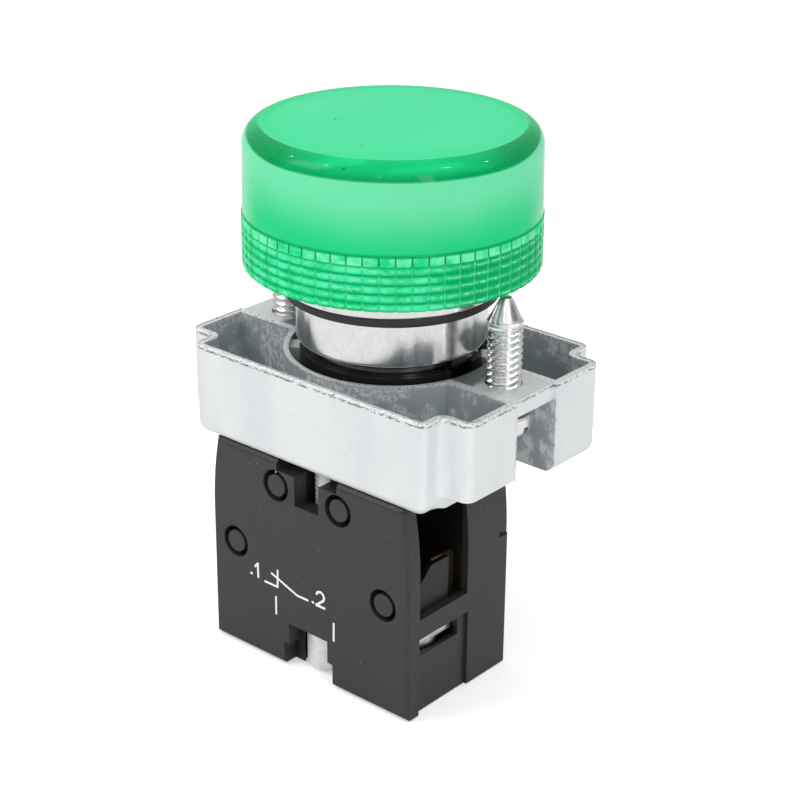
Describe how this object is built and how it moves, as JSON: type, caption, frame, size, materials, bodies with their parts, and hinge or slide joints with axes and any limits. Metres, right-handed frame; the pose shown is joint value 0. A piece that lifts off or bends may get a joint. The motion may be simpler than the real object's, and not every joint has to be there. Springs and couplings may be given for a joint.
{
  "type": "panel pilot light",
  "caption": "Round green panel pilot light: screw-on lens on a chromed barrel, a cast bracket with clamp screws behind the panel, and a contact block under it.",
  "frame": {"origin": "on the barrel's axis, in the plane where the gasket seats on the panel's front face", "axes": "+Z along the light axis out of the panel, the contact block's printed face looks along -Y, the clamp screws stand along +X and -X"},
  "size_m": [0.042, 0.0338, 0.0641],
  "materials": {
    "lens": "translucent green plastic",
    "chrome": "polished chrome plate",
    "rubber": "matt black rubber",
    "lamp_glass": "clear glass",
    "black_plastic": "satin black plastic",
    "brass": "plain brass",
    "zinc": "satin zinc die casting",
    "steel": "bright zinc-plated steel",
    "block_plastic": "dark grey moulded plastic",
    "white_plastic": "white moulded plastic",
    "spring_steel": "spring steel"
  },
  "bodies": {
    "bracket": {"mounting_bracket": "zinc", "contact_housing": "block_plastic", "contact_cover": "block_plastic", "block_fixing_screw": "steel", "fixed_contact_right": "brass", "fixed_contact_left": "brass", "return_spring": "spring_steel"},
    "head": {"bezel_body": "chrome", "panel_gasket": "rubber", "lamp_bulb": "lamp_glass", "lamp_socket": "black_plastic", "socket_shell": "brass", "centre_contact": "brass", "lamp_tab_centre": "brass", "lamp_tab_shell": "brass"},
    "cap": {"lens_cap": "lens"},
    "screw_right": {"clamp_screw_right": "steel"},
    "screw_left": {"clamp_screw_left": "steel"},
    "plunger_group": {"plunger": "white_plastic", "contact_bridge": "brass", "contact_spring": "spring_steel"},
    "terminal_right": {"terminal_screw_right": "steel", "clamp_plate_right": "steel"},
    "terminal_left": {"terminal_screw_left": "steel", "clamp_plate_left": "steel"}
  },
  "joints": [
    {"name": "head_release", "type": "slide", "parent": "bracket", "child": "head", "axis": [0, 0, 1], "range_m": [0, 0.022]},
    {"name": "cap_unscrew", "type": "slide", "parent": "head", "child": "cap", "axis": [0, 0, 1], "range_m": [0, 0.008]},
    {"name": "clamp_screw_right_turn", "type": "slide", "parent": "bracket", "child": "screw_right", "axis": [0, 0, 1], "range_m": [-0.005, 0]},
    {"name": "clamp_screw_left_turn", "type": "slide", "parent": "bracket", "child": "screw_left", "axis": [0, 0, 1], "range_m": [-0.005, 0]},
    {"name": "plunger_press", "type": "slide", "parent": "bracket", "child": "plunger_group", "axis": [0, 0, -1], "range_m": [0, 0.0032], "stiffness_N_per_m": 300, "springref_m": -0.004, "deforming": ["return_spring"]},
    {"name": "terminal_screw_right_turn", "type": "slide", "parent": "bracket", "child": "terminal_right", "axis": [0, 0, -1], "range_m": [0, 0.0018]},
    {"name": "terminal_screw_left_turn", "type": "slide", "parent": "bracket", "child": "terminal_left", "axis": [0, 0, -1], "range_m": [0, 0.0018]}
  ]
}
